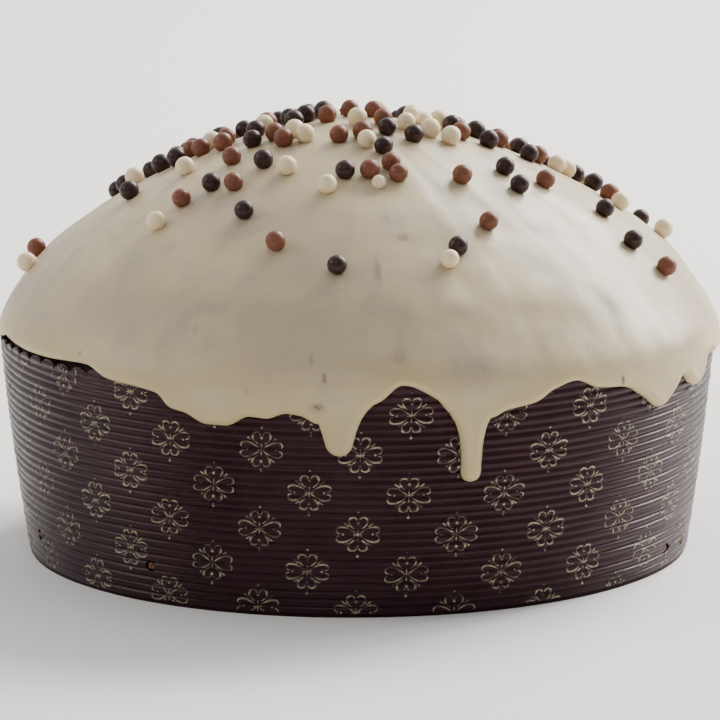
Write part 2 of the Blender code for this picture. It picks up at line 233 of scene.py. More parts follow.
# Petals: direction, length, half width, side curve, stroke at the root and at the lobe.
PETALS = (
    (0, 6.0, 2.15, LONG_SIDE, 0.26, 0.58),
    (90, 5.0, 2.6, SHORT_SIDE, 0.3, 0.6),
    (180, 6.0, 2.15, LONG_SIDE, 0.26, 0.58),
    (270, 4.8, 2.6, SHORT_SIDE, 0.34, 0.66),
)
# Strokes between the petals and across the middle: from, to, width at each end. Dots: place, radius.
RAYS = (
    ((-2.6, 2.4), (-4.1, 3.6), 0.26, 0.5),
    ((2.9, 2.4), (4.25, 3.4), 0.26, 0.5),
    ((2.6, -2.5), (3.9, -3.5), 0.26, 0.5),
    ((-2.7, -2.4), (-3.8, -3.2), 0.24, 0.4),
    ((-1.9, -2.2), (-2.5, -2.8), 0.24, 0.36),
    ((1.9, -2.2), (2.5, -2.8), 0.24, 0.36),
    ((0.0, -1.8), (0.0, 1.8), 0.28, 0.28),
    ((-1.3, -0.1), (1.3, 0.1), 0.28, 0.28),
)
DOTS = (
    ((0.0, 0.0), 0.42),
    ((0.0, 3.45), 0.44),
    ((0.0, -3.45), 0.46),
    ((-4.2, 0.05), 0.34),
    ((4.2, 0.05), 0.34),
    ((0.0, 6.5), 0.32),
    ((0.0, -6.45), 0.42),
    ((0.0, -5.7), 0.18),
)
DOT_SIDES = 10

# Small blemishes of the icing: bearing, height, half width, half height, strength.
BLEMISHES = (
    (-5.0, 71.0, 0.6, 0.5, 1.4),
    (-6.0, 62.6, 1.7, 0.9, 1.0),
    (-7.2, 75.6, 0.5, 1.2, 0.5),
    (44.8, 63.6, 0.4, 1.1, 3.0),
    (6.6, 76.2, 2.2, 1.6, 0.5),
    (7.0, 80.5, 0.9, 2.0, 0.3),
    (4.2, 96.0, 0.9, 3.2, 0.6),
    (11.0, 103.4, 2.2, 0.6, 0.8),
    (8.0, 107.4, 1.6, 1.6, 0.35),
    (19.0, 73.0, 0.5, 0.5, 0.9),
    (29.0, 87.0, 0.4, 0.5, 0.5),
    (48.0, 77.0, 0.5, 0.6, 0.6),
    (-28.0, 81.0, 0.6, 0.6, 0.5),
    (-49.0, 71.0, 0.6, 0.5, 0.7),
    (-17.0, 66.6, 0.6, 0.6, 0.5),
)
BLEMISHES_WITHIN = 60.0

# Camera: place and lens in millimetres, turns in degrees, farthest sight in metres.
CAMERA_DISTANCE = 2139.0
CAMERA_HEIGHT = 496.3
CAMERA_PITCH = 11.676
CAMERA_ROLL = -0.29
CAMERA_YAW = -0.02
CAMERA_LENS = 372.6
CAMERA_SENSOR = 36.0
CAMERA_SEES_TO = 50.0

# Studio, in metres and watts. Softboxes: name, place, width and height, power.
FLOOR_SIZE = 12.0
FLOOR_GREY = 0.9
FLOOR_ROUGHNESS = 0.9
LIGHTS_LOOK_AT = Vector((0.0, 0.0, 0.07))
WARM_WHITE = (1.0, 0.965, 0.905)
SOFTBOXES = (
    ("key", (1.1, 0.68, 0.66), (0.5, 0.45), 15.0),
    ("back", (1.05, 1.35, 1.4), (1.2, 1.0), 80.0),
    ("left", (-1.15, -0.1, 0.7), (0.6, 0.6), 5.5),
    ("fill", (-0.45, -2.0, 1.6), (1.6, 0.9), 11.5),
)
# The surroundings glow from the dim strength to the bright one along this direction.
GLOW_DIRECTION = (0.3, 0.85, 0.42)
GLOW_FROM = -0.3
GLOW_TO = 0.95
GLOW_DIM = 0.02
GLOW_BRIGHT = 1.4

# Linear colours.
CREAM = (0.475, 0.39, 0.255)
PALE_CREAM = (0.565, 0.47, 0.29)
CREAM_STREAK = (0.44, 0.37, 0.275)
CREAM_THIN = (0.385, 0.31, 0.265)
CREAM_EDGE = (0.55, 0.44, 0.22)
CREAM_SPECK = (0.40, 0.33, 0.25)
CREAM_BLEMISH = (0.13, 0.065, 0.07)
PAPER_DARK = (0.019, 0.0062, 0.0085)
PAPER_LIGHT = (0.030, 0.0105, 0.014)
PAPER_GLOSS_TINT = (1.0, 0.76, 0.84, 1.0)
INK_GOLD = (0.40, 0.35, 0.22)
INK_WORN = (0.145, 0.118, 0.082)
# Painted shade of the ink in the flutes' grooves.
INK_PAINTED_GROOVE_SHADE = (0.062, 0.046, 0.038)
CRUST_DARK = (0.045, 0.016, 0.007)
CRUST_LIGHT = (0.11, 0.043, 0.016)
CRUMB_DARK = (0.10, 0.038, 0.015)
CRUMB_LIGHT = (0.20, 0.09, 0.038)
# Chocolates of the pearls: kind, colour, colour of its clouds, lowest roughness.
CHOCOLATES = (
    ("white", (0.90, 0.77, 0.52), (0.82, 0.67, 0.42), 0.34),
    ("milk", (0.20, 0.068, 0.036), (0.15, 0.05, 0.027), 0.36),
    ("dark", (0.034, 0.0115, 0.010), (0.022, 0.008, 0.0072), 0.34),
)


def around(bearing, radius, height):
    """The point at a bearing in degrees, a distance from the axis and a height, in metres."""
    turn = math.radians(bearing)
    return Vector((radius * math.sin(turn), -radius * math.cos(turn), height)) * MM


def points_around(bearings, radii, heights):
    """As around(), for arrays."""
    turn = np.radians(bearings)
    radii, heights = np.broadcast_to(radii, turn.shape), np.broadcast_to(heights, turn.shape)
    return np.stack([radii * np.sin(turn), -radii * np.cos(turn), heights], axis=-1) * MM


def signed(bearing):
    """A bearing, or a difference of bearings, from -180 to 180."""
    return (bearing + 180.0) % 360.0 - 180.0


def paper_radius(height):
    """Distance from the axis to the crests of the flutes."""
    return MOULD_BASE_RADIUS + MOULD_FLARE * height - MOULD_BULGE * height * height


def flute_crest(height):
    """How high a place on a flute is, from 0 in the groove to 1 on the crest."""
    return np.abs(np.sin(np.pi * (height - FOOT_HEIGHT) / FLUTE_PITCH)) ** FLUTE_ROUNDNESS


def flute_radius(bearing, height):
    """Distance from the axis to the fluted outside: broad round crests between narrow grooves."""
    turn = np.radians(bearing)
    flute = np.floor((height - FOOT_HEIGHT) / FLUTE_PITCH)
    uneven = sum(wave * np.sin(count * turn + shift * flute) for wave, count, shift in FLUTE_WAVES)
    groove = FLUTE_DEPTH * (1.0 - flute_crest(height))
    return paper_radius(height) - FLUTE_WAVES_MOST + uneven - groove


def rim_height(bearing):
    """Mean height of the cut edge."""
    aside = signed(bearing - RIM_HIGH_BEARING) / RIM_RISE_SPREAD
    return RIM_HEIGHT + RIM_RISE * np.exp(-(aside**2))


def scalloped_rim(bearing):
    """Height of the cut edge: round teeth with sharp valleys, one not quite like the next."""
    turn = np.radians(bearing)
    tooth = np.abs(np.cos(turn * SCALLOPS / 2)) ** SCALLOP_ROUNDNESS
    uneven = sum(wave * np.sin(turn * count + phase) for wave, count, phase in SCALLOP_WAVES)
    return rim_height(bearing) + SCALLOP_DEPTH * (tooth - SCALLOP_MEAN) + uneven


def dome_height(radius):
    """Height of the icing's outside."""
    share = np.minimum(radius / DOME_RADIUS, 1.0)
    crown = CROWN_RISE * np.exp(-((radius / CROWN_SPREAD) ** 2))
    swell = SHOULDER_SWELL * np.exp(-(((radius - SHOULDER_PLACE) / SHOULDER_WIDTH) ** 2))
    return DOME_BASE + DOME_RISE * (1.0 - share**DOME_FALL) ** DOME_FULLNESS + crown + swell


def dome_radius(height):
    """Distance from the axis at which the dome has a height, below its full shoulder."""
    radii = np.linspace(DOME_RADIUS, SHOULDER_PLACE - SHOULDER_WIDTH, DOME_SAMPLES)
    return np.interp(height, dome_height(radii), radii)


def icing_cover(bearing):
    """Thickness of the icing on the paper."""
    return SKIRT_COVER + SKIRT_EXTRA * np.cos(np.radians(bearing - SKIRT_THICK_BEARING))


def eased(share):
    """A share from 0 to 1 that starts and ends gently."""
    return share * share * (3.0 - 2.0 * share)


def shoulder_push(bearing, height):
    """How far the icing stands out from the dome where the rim of the paper is under it."""
    rim = rim_height(bearing)
    covered = paper_radius(rim) + icing_cover(bearing) + SHOULDER_ROUNDING * math.log(2.0)
    share = np.clip((rim + SHOULDER_BLEND - height) / SHOULDER_BLEND, 0.0, 1.0)
    return (covered - dome_radius(rim)) * eased(share)


def hollow_height(radius):
    """Height of the hollow that the cake fills."""
    share = np.minimum(radius / HOLLOW_RADIUS, 1.0)
    rise, spread = HOLLOW_CROWN
    bulge = (DOME_RISE - HOLLOW_DROP) * (1.0 - share**DOME_FALL) ** DOME_FULLNESS
    return DOME_BASE + bulge + rise * np.exp(-((radius / spread) ** 2))


def hollow_radius(height):
    """Distance from the axis at which the hollow has a height, where its crown no longer counts."""
    bulge = (height - DOME_BASE) / (DOME_RISE - HOLLOW_DROP)
    return HOLLOW_RADIUS * (1.0 - bulge ** (1.0 / DOME_FULLNESS)) ** (1.0 / DOME_FALL)


def back_runs():
    """The bells and the tongues of the side that is not shown."""
    draw = random.Random(BACK_RUN_SEED)
    bells, tongues = [], []
    for k in range(int((BACK_RUNS_TO - BACK_RUNS_FROM) / BACK_RUN_STEP) + 1):
        bearing = BACK_RUNS_FROM + BACK_RUN_STEP * (k + draw.uniform(*BACK_RUN_SHIFT))
        bells.append((bearing, draw.uniform(*BACK_BELL_REACH), draw.uniform(*BACK_BELL_HALF_WIDTH)))
        if k % BACK_TONGUE_EVERY == 1:
            tip = draw.uniform(*BACK_TONGUE_TIP)
            tongues.append((bearing + BACK_TONGUE_ASIDE, tip, *BACK_TONGUE_SHAPE))
    return bells, tongues


BACK_BELLS, BACK_TONGUES = back_runs()
TONGUES = SHOWN_TONGUES + tuple(BACK_TONGUES)


def shown_edge(bearing):
    """The edge through its measured turns, level at each high and low one."""
    places, heights = np.array(SHOWN_EDGE).T
    steps = np.diff(places)
    rises = np.diff(heights) / steps
    slopes = np.zeros(len(places))
    going_on = rises[:-1] * rises[1:] > 0.0
    slopes[1:-1][going_on] = 2.0 / (1.0 / rises[:-1][going_on] + 1.0 / rises[1:][going_on])
    bearing = np.clip(bearing, places[0], places[-1])
    k = np.clip(np.searchsorted(places, bearing) - 1, 0, len(steps) - 1)
    t = (bearing - places[k]) / steps[k]
    level = heights[k] + (heights[k + 1] - heights[k]) * eased(t)
    return level + steps[k] * t * (1.0 - t) * (slopes[k] * (1.0 - t) - slopes[k + 1] * t)


def tongue_widths(radius, length, widening, flare):
    """Heights above a tongue's tip, and its half width at each: round tip, then nearly straight sides."""
    heights = np.linspace(0.0, length, TONGUE_STEPS)
    tip = radius * np.sqrt(1.0 - (1.0 - np.minimum(heights / radius, 1.0)) ** 2)
    return heights, tip + widening * heights + flare * (heights / length) ** TONGUE_FLARE_POWER


def edge_height(bearing):
    """Height of the icing's lower edge."""
    turned = signed(bearing)
    height = shown_edge(turned)
    for centre, reach, half_width in BACK_BELLS:
        aside = np.abs(signed(turned - centre) / half_width)
        height = height - reach * np.exp(-(aside**BACK_BELL_POWER))
    for centre, tip, *shape in TONGUES:
        heights, widths = tongue_widths(*shape)
        aside = np.abs(np.radians(signed(turned - centre))) * paper_radius(tip)
        height = np.minimum(height, tip + np.interp(aside, widths, heights, right=math.inf))
    return np.minimum(height, rim_height(bearing) + EDGE_ABOVE_RIM)


def mesh_object(name, points, faces, material):
    """A smooth-shaded object from points in metres."""
    mesh = bpy.data.meshes.new(name)
    mesh.from_pydata(np.asarray(points).tolist(), [], faces)
    mesh.update()
    mesh.shade_smooth()
    mesh.materials.append(material)
    obj = bpy.data.objects.new(name, mesh)
    bpy.context.scene.collection.objects.link(obj)
    return obj


def carry(obj, name, values):
    """Lets a mesh carry a value at each of its points."""
    layer = obj.data.attributes.new(name, "FLOAT", "POINT")
    layer.data.foreach_set("value", np.array(values, dtype=np.float32))


def lattice(rows, columns, start=0):
    """Quads between rings of equal count, outwards for rings that go up."""
    faces = []
    for row in range(rows - 1):
        base = start + row * columns
        for k in range(columns):
            right = (k + 1) % columns
            faces.append((base + k, base + right, base + columns + right, base + columns + k))
    return faces


def stitch(one, two, first, second):
    """Triangles between two rings of different counts: bearings, and the index of each first point."""
    faces = []
    i, j = 0, 0
    while i < len(one) or j < len(two):
        next_one = one[i + 1] if i + 1 < len(one) else one[0] + 360.0
        next_two = two[j + 1] if j + 1 < len(two) else two[0] + 360.0
        a, b = first + i % len(one), second + j % len(two)
        if j >= len(two) or (i < len(one) and next_one <= next_two):
            faces.append((a, first + (i + 1) % len(one), b))
            i += 1
        else:
            faces.append((a, second + (j + 1) % len(two), b))
            j += 1
    return faces


def fan(count, first, tip):
    """Triangles from a ring to one point."""
    return [(first + k, first + (k + 1) % count, tip) for k in range(count)]


def facing_out(obj):
    """Turns every face of a closed mesh outwards."""
    work = bmesh.new()
    work.from_mesh(obj.data)
    bmesh.ops.recalc_face_normals(work, faces=work.faces)
    work.to_mesh(obj.data)
    work.free()


class Nodes:
    """A material's node tree, with short calls for what the finishes share."""

    def __init__(self, name):
        self.material = bpy.data.materials.new(name)
        self.material.use_nodes = True
        self.tree = self.material.node_tree
        self.shader = self.tree.nodes["Principled BSDF"]
        self.place = self.add("ShaderNodeTexCoord").outputs["Object"]

    def add(self, kind, **settings):
        """A new node of a kind, with its settings."""
        node = self.tree.nodes.new(kind)
        for key, value in settings.items():
            setattr(node, key, value)
        return node

    def link(self, output, socket):
        self.tree.links.new(output, socket)

    def stretched(self, scale):
        """The place on the object, scaled along its axes."""
        mapping = self.add("ShaderNodeMapping")
        mapping.inputs["Scale"].default_value = scale
        self.link(self.place, mapping.inputs["Vector"])
        return mapping.outputs["Vector"]

    def noise(self, size, detail, roughness=0.55, vector=None, distortion=0.0):
        """Clouds of a size in millimetres, from 0 to 1."""
        node = self.add("ShaderNodeTexNoise")
        node.inputs["Scale"].default_value = 1.0 / (size * MM)
        node.inputs["Detail"].default_value = detail
        node.inputs["Roughness"].default_value = roughness
        node.inputs["Distortion"].default_value = distortion
        self.link(vector or self.place, node.inputs["Vector"])
        return node.outputs["Fac"]

    def attribute(self, name):
        """A value that the mesh carries at its points."""
        return self.add("ShaderNodeAttribute", attribute_name=name).outputs["Fac"]

    def remap(self, value, low, high, to_low=0.0, to_high=1.0):
        """A value carried from one range to another, and held at its ends."""
        node = self.add("ShaderNodeMapRange")
        for key, number in zip(("From Min", "From Max", "To Min", "To Max"), (low, high, to_low, to_high)):
            node.inputs[key].default_value = number
        self.link(value, node.inputs["Value"])
        return node.outputs["Result"]

    def times(self, one, two):
        node = self.add("ShaderNodeMath", operation="MULTIPLY")
        self.link(one, node.inputs[0])
        self.link(two, node.inputs[1])
        return node.outputs["Value"]

    def mix(self, factor, one, two):
        """Mixes two colours; each is a colour or another mix."""
        node = self.add("ShaderNodeMix", data_type="RGBA")
        self.link(factor, node.inputs["Factor"])
        for socket, colour in ((node.inputs[6], one), (node.inputs[7], two)):
            if isinstance(colour, tuple):
                socket.default_value = (*colour, 1.0)
            else:
                self.link(colour, socket)
        return node.outputs[2]

    def bump(self, height, strength, distance, under=None):
        """Fine relief of a depth in millimetres, on top of another one."""
        node = self.add("ShaderNodeBump")
        node.inputs["Strength"].default_value = strength
        node.inputs["Distance"].default_value = distance * MM
        self.link(height, node.inputs["Height"])
        if under:
            self.link(under, node.inputs["Normal"])
        return node.outputs["Normal"]

    def finish(self, colour, roughness, normal=None, **constants):
        """Wires the shader. Constants are set on its own sockets."""
        self.link(colour, self.shader.inputs["Base Color"])
        self.link(roughness, self.shader.inputs["Roughness"])
        if normal:
            self.link(normal, self.shader.inputs["Normal"])
        for key, value in constants.items():
            self.shader.inputs[key.replace("_", " ")].default_value = value
        return self.material


def icing_finish():
    """Set white chocolate: cream, yellower along its edge, thin and greyer in patches."""
    n = Nodes("white_chocolate_icing")
    flow = n.stretched((1.0, 1.0, 0.3))
    clouds = n.remap(n.noise(size=36, detail=2), 0.35, 0.68)
    streaks = n.remap(n.noise(size=9, detail=3, vector=flow), 0.5, 0.85, to_high=0.4)
    patches = n.remap(n.noise(size=15, detail=3, distortion=0.8), 0.5, 0.74, to_high=0.75)
    edge = n.remap(n.attribute("near_edge"), 0.0, 1.0, to_high=0.9)
    specks = n.remap(n.noise(size=1.3, detail=2), 0.76, 0.80, to_high=0.2)
    spots = n.times(n.attribute("blemish"), n.remap(n.noise(size=1.1, detail=3), 0.22, 0.5))
    colour = n.mix(clouds, CREAM, PALE_CREAM)
    layers = (
        (streaks, CREAM_STREAK),
        (patches, CREAM_THIN),
        (edge, CREAM_EDGE),
        (specks, CREAM_SPECK),
        (spots, CREAM_BLEMISH),
    )
    for share, over in layers:
        colour = n.mix(share, colour, over)
    rough = n.remap(n.noise(size=12, detail=3, vector=flow), 0.3, 0.75, 0.33, 0.48)
    brushed = n.bump(n.noise(size=5.5, detail=3, vector=flow), strength=0.3, distance=0.35)
    grained = n.bump(n.noise(size=0.9, detail=2), strength=0.1, distance=0.12, under=brushed)
    return n.finish(
        colour,
        rough,
        grained,
        Subsurface_Weight=0.15,
        Subsurface_Radius=(1.0, 0.65, 0.35),
        Subsurface_Scale=0.003,
        Specular_IOR_Level=0.4,
    )


def paper_finish():
    """Dark brown baking paper with a soft gloss and a fine fibre."""
    n = Nodes("dark_baking_paper")
    clouds = n.remap(n.noise(size=8, detail=4), 0.35, 0.7)
    colour = n.mix(clouds, PAPER_DARK, PAPER_LIGHT)
    rough = n.remap(n.noise(size=1.6, detail=3), 0.3, 0.7, 0.27, 0.38)
    fibre = n.bump(n.noise(size=0.35, detail=3), strength=0.25, distance=0.06)
    return n.finish(colour, rough, fibre, Specular_IOR_Level=0.2, Specular_Tint=PAPER_GLOSS_TINT)


def print_finish():
    """Pale gold ink, rubbed thin in places, with painted shade where it lies in the flutes' grooves."""
    n = Nodes("pale_gold_ink")
    worn = n.remap(n.noise(size=0.9, detail=3), 0.38, 0.62)
    # Towards the grooves of the flutes the ink is darkened into painted shade.
    crest = n.remap(n.attribute("crest"), 0.5, 0.98)
    colour = n.mix(crest, INK_PAINTED_GROOVE_SHADE, n.mix(worn, INK_GOLD, INK_WORN))
    rough = n.remap(n.noise(size=1.4, detail=2), 0.3, 0.7, 0.36, 0.5)
    return n.finish(colour, rough, Metallic=0.3)


def crust_finish():
    """Dark browned crust and crumb."""
    n = Nodes("browned_crust")
    patches = n.remap(n.noise(size=14, detail=4), 0.35, 0.7)
    colour = n.mix(patches, CRUST_DARK, CRUST_LIGHT)
    rough = n.remap(n.noise(size=5, detail=3), 0.3, 0.7, 0.6, 0.8)
    pores = n.bump(n.noise(size=1.5, detail=4, roughness=0.7), strength=0.7, distance=0.6)
    return n.finish(colour, rough, pores)


def crumb_finish():
    """Toasted crumb in the skewers' holes."""
    n = Nodes("toasted_crumb")
    clouds = n.remap(n.noise(size=0.8, detail=3), 0.35, 0.65)
    colour = n.mix(clouds, CRUMB_DARK, CRUMB_LIGHT)
    rough = n.remap(n.noise(size=0.6, detail=2), 0.3, 0.7, 0.6, 0.85)
    pores = n.bump(n.noise(size=0.5, detail=3), strength=0.8, distance=0.3)
    return n.finish(colour, rough, pores)


def pearl_finish(kind, light, dark, smoothest):
    """Panned chocolate: an even colour with faint clouds, and a soft gloss."""
    n = Nodes(kind + "_chocolate")
    clouds = n.remap(n.noise(size=1.8, detail=3), 0.35, 0.7)
    colour = n.mix(clouds, light, dark)
    rough = n.remap(n.noise(size=1.1, detail=2), 0.3, 0.7, smoothest, smoothest + 0.1)
    skin = n.bump(n.noise(size=0.8, detail=2), strength=0.2, distance=0.1)
    return n.finish(colour, rough, skin, Specular_IOR_Level=0.32)


def make_paper():
    """The fluted cup with its scalloped rim, its flat base and the holes of the skewers."""
    columns = SCALLOPS * SCALLOP_SAMPLES
    bearings = 360.0 * np.arange(columns) / columns
    top = scalloped_rim(bearings)
    heights = [np.zeros(columns)]
    for flute in range(EVEN_FLUTES):
        heights += [np.full(columns, FOOT_HEIGHT + FLUTE_PITCH * (flute + phase)) for phase in FLUTE_PHASES]
    start = FOOT_HEIGHT + FLUTE_PITCH * EVEN_FLUTES
    heights += [start + (top - start) * row / RIM_ROWS for row in range(RIM_ROWS + 1)]
    rings = [points_around(bearings, flute_radius(bearings, h), h) for h in heights]
    for height in (top, np.full(columns, RIM_HEIGHT / 2), np.full(columns, PAPER_THICKNESS)):
        rings.append(points_around(bearings, paper_radius(height) - PAPER_THICKNESS, height))
    points = np.concatenate([*rings, [(0.0, 0.0, 0.0), (0.0, 0.0, PAPER_THICKNESS * MM)]])
    faces = lattice(len(rings), columns)
    faces += fan(columns, 0, len(points) - 2)
    faces += fan(columns, (len(rings) - 1) * columns, len(points) - 1)
    paper = mesh_object("fluted_paper", points, faces, paper_finish())
    facing_out(paper)
    cut_skewer_holes(paper)
    return paper


def cut_skewer_holes(paper):
    """Drills the wall where the skewers went through."""
    drills = bmesh.new()
    for bearing, height in SKEWER_HOLES:
        outward = around(bearing, 1.0, 0.0).to_track_quat("Z", "Y").to_matrix().to_4x4()
        bmesh.ops.create_cone(
            drills,
            cap_ends=True,
            segments=DRILL_SIDES,
            radius1=SKEWER_RADIUS * MM,
            radius2=SKEWER_RADIUS * MM,
            depth=DRILL_LENGTH * MM,
            matrix=Matrix.Translation(around(bearing, paper_radius(height), height)) @ outward,
        )
    drill_mesh = bpy.data.meshes.new("skewer_drills")
    drills.to_mesh(drill_mesh)
    drills.free()
    cutter = bpy.data.objects.new("skewer_drills", drill_mesh)
    bpy.context.scene.collection.objects.link(cutter)
    cut = paper.modifiers.new("skewer_holes", "BOOLEAN")
    cut.operation = "DIFFERENCE"
    cut.solver = "MANIFOLD"
    cut.object = cutter
    holed = bpy.data.meshes.new_from_object(paper.evaluated_get(bpy.context.evaluated_depsgraph_get()))
    paper.modifiers.clear()
    paper.data = holed
    bpy.data.objects.remove(cutter)


def make_crumbs():
    """Rough crumb that shows in the skewers' holes."""
    points, faces = [], []
    for k, (bearing, height) in enumerate(SKEWER_HOLES):
        lump = bmesh.new()
        bmesh.ops.create_icosphere(lump, subdivisions=3, radius=CRUMB_RADIUS * MM)
        middle = around(bearing, paper_radius(height) - PAPER_THICKNESS - CRUMB_BEHIND_WALL, height)
        shift = Vector((CRUMB_SHIFT * k, 0.0, 0.0))
        start = len(points)
        for v in lump.verts:
            rough = 1.0 + CRUMB_ROUGHNESS * noise.noise(v.co / (CRUMB_GRAIN * MM) + shift)
            points.append(middle + v.co * rough)
        faces += [tuple(start + v.index for v in f.verts) for f in lump.faces]
        lump.free()
    return mesh_object("skewer_crumbs", points, faces, crumb_finish())


def edge_columns():
    """Bearings for the skirt's columns, evenly spaced along the icing's edge and not round the axis."""
    fine = np.linspace(0.0, 360.0, EDGE_SAMPLES)
    heights = edge_height(fine)
    steps = np.hypot(np.radians(np.diff(fine)) * paper_radius(DOME_BASE), np.diff(heights))
    travelled = np.concatenate([[0.0], np.cumsum(steps)])
    count = int(travelled[-1] / EDGE_STEP)
    return np.interp(travelled[-1] * np.arange(count) / count, travelled, fine)


class EdgeDistance:
    """Distance over the wall to the icing's edge, and nearness to the tips of its tongues."""

    # So many columns are repeated past both ends of the full turn.
    WRAP = 200

    def __init__(self, bearings):
        edges = edge_height(bearings)
        before, after = slice(-self.WRAP, None), slice(self.WRAP)
        places = np.concatenate([bearings[before] - 360.0, bearings, bearings[after] + 360.0])
        heights = np.concatenate([edges[before], edges, edges[after]])
        self.tree = kdtree.KDTree(len(places))
        for k, (bearing, height) in enumerate(zip(places, heights)):
            self.tree.insert(self.flat(bearing, height), k)
        self.tree.balance()

    def flat(self, bearing, height):
        """A place on the unrolled wall."""
        return Vector((math.radians(bearing) * paper_radius(DOME_BASE), height, 0.0))

    def to_edge(self, bearing, height):
        """Distance to the edge in millimetres."""
        return self.tree.find(self.flat(bearing, height))[2]

    def bulb(self, bearing, height):
        """How near a point is to a tongue's heavy tip, from 0 to 1."""
        near = 0.0
        for centre, tip, radius, *_ in TONGUES:
            across = math.radians(signed(bearing - centre)) * paper_radius(tip) / radius
            up = (height - tip - radius) / (DRIP_BULB_LENGTH * radius)
            near = max(near, math.exp(-(across**2) - up**2))
        return near


def skirt_radii(bearings, heights, depths, bulbs):
    """Outer radii of the icing over the paper and its rim, from the distances to its edge."""
    round_edge = np.sqrt(np.maximum(1.0 - (1.0 - np.minimum(depths / EDGE_ROUNDING, 1.0)) ** 2, 0.0))
    bead = BEAD_RISE * np.exp(-(((depths - EDGE_ROUNDING) / BEAD_WIDTH) ** 2))
    thickness = icing_cover(bearings) + bead + DRIP_BULB * bulbs
    wall = paper_radius(heights) + thickness + SHOULDER_ROUNDING * math.log(2.0)
    dome = dome_radius(heights) + shoulder_push(bearings, heights)
    smaller, larger = np.minimum(wall, dome), np.maximum(wall, dome)
    outer = smaller - SHOULDER_ROUNDING * np.log1p(np.exp((smaller - larger) / SHOULDER_ROUNDING))
    inner = np.minimum(paper_radius(heights) - SKIRT_INTO_PAPER, outer - SKIRT_THICKNESS)
    return inner + (outer - inner) * round_edge


def relief(point, *waves):
    """Sum of noise waves at a point: each has a height and a size."""
    return sum(height * noise.noise(point / (size * MM)) for height, size in waves)


def poured(point):
    """How far the poured surface stands out at a point, in millimetres: its lumps, and its marks."""
    rippled = min(max(RIPPLES_LEAST + point.x / (RIPPLES_GROW * MM), RIPPLES_LEAST), 1.0)
    lumps = relief(point, *LUMPS) + rippled * relief(point, RIPPLES)
    away = math.hypot(point.x, point.y)
    if away < MARKS_FROM * MM:
        return lumps, 0.0
    slope = Vector((*(point.xy * (MARKS_ACROSS / away)), point.z * MARKS_DOWN))
    return lumps, relief(slope, *MARKS) * min(away / (MARKS_FULL * MM), 1.0)


def make_icing():
    """The poured shell, from the top down: dome, skirt with rounded edge, and the hollow under it."""
    columns = edge_columns()
    even = 360.0 * np.arange(DOME_COLUMNS) / DOME_COLUMNS
    radii = np.linspace(DOME_RING_STEP, float(dome_radius(SKIRT_TOP)), int(DOME_RADIUS / DOME_RING_STEP))
    dome = [dome_ring(even, r) for r in radii]
    dome_count = len(radii) * DOME_COLUMNS
    skirt, depths = skirt_points(columns)

    step = np.maximum(rim_height(even) + HOLLOW_ABOVE_RIM, edge_height(even) + HOLLOW_ABOVE_EDGE)
    inside = [
        points_around(even, paper_radius(step) - SKIRT_INTO_PAPER, step),
        points_around(even, hollow_radius(step), step),
    ]
    inside += [points_around(even, r, float(hollow_height(r))) for r in HOLLOW_RINGS]
    tips = [(0.0, 0.0, float(dome_height(0.0)) * MM), (0.0, 0.0, float(hollow_height(0.0)) * MM)]
    points = np.concatenate([*dome, skirt, *inside, tips])

    outside = dome_count + len(skirt)
    last_skirt_ring = outside - len(columns)
    last_dome_ring = dome_count - DOME_COLUMNS
    last_inside_ring = outside + (len(inside) - 1) * DOME_COLUMNS
    faces = lattice(len(radii), DOME_COLUMNS)
    faces += stitch(even, columns, last_dome_ring, dome_count)
    faces += lattice(SKIRT_ROWS + 1, len(columns), dome_count)
    faces += stitch(columns, even, last_skirt_ring, outside)
    faces += lattice(len(inside), DOME_COLUMNS, outside)
    faces += fan(DOME_COLUMNS, 0, len(points) - 2)
    faces += fan(DOME_COLUMNS, last_inside_ring, len(points) - 1)

    near_edge = np.zeros(len(points))
    near_edge[dome_count:outside] = np.exp(-((depths / EDGE_TINT_REACH) ** EDGE_TINT_POWER))
    calm = np.zeros(len(points))
    calm[dome_count:outside] = np.exp(-depths / CALM_EDGE)
    for k in [*range(outside), len(points) - 2]:
        push_out(points[k], 1.0 - calm[k])
    icing = mesh_object("white_chocolate_icing", points, faces, icing_finish())
    facing_out(icing)
    carry(icing, "near_edge", near_edge)
    carry(icing, "blemish", [blemish_at(point) for point in points])
    return icing


def dome_ring(bearings, radius):
    """A ring of the dome, pushed out near the rim."""
    height = float(dome_height(radius))
    return points_around(bearings, radius + shoulder_push(bearings, height), height)


def skirt_points(columns):
    """Rings of the skirt from its top to its edge, and each point's distance to the edge."""
    distance = EdgeDistance(columns)
    edges = edge_height(columns)
    top = float(dome_height(dome_radius(SKIRT_TOP))) - SKIRT_BELOW_DOME
    rings, depths = [], []
    for row in range(SKIRT_ROWS + 1):
        heights = edges + (top - edges) * (1.0 - row / SKIRT_ROWS) ** SKIRT_ROWS_CROWDING
        depth = np.zeros(len(columns))
        if row < SKIRT_ROWS:
            depth = np.array([distance.to_edge(b, h) for b, h in zip(columns, heights)])
        bulbs = np.array([distance.bulb(b, h) for b, h in zip(columns, heights)])
        rings.append(points_around(columns, skirt_radii(columns, heights, depth, bulbs), heights))
        depths.append(depth)
    return np.concatenate(rings), np.concatenate(depths)


def push_out(point, strength):
    """Moves a point of the outside by the poured surface's lumps and marks, less near the edge."""
    lumps, marks = poured(Vector(point))
    high_up = min(max((point[2] / MM - LUMPS_FROM) / LUMPS_FADE, 0.0), 1.0)
    marked = MARKS_LOW_SHARE + (1.0 - MARKS_LOW_SHARE) * high_up
    push = (lumps * high_up + marks * marked) * strength * MM
    radial = math.hypot(point[0], point[1])
    steep = min(radial / (STEEP_RADIUS * MM), 1.0) ** 2
    if radial > 0.0:
        point[:2] *= 1.0 + push * steep / radial
    point[2] += push * (1.0 - STEEP_SHARE * steep)


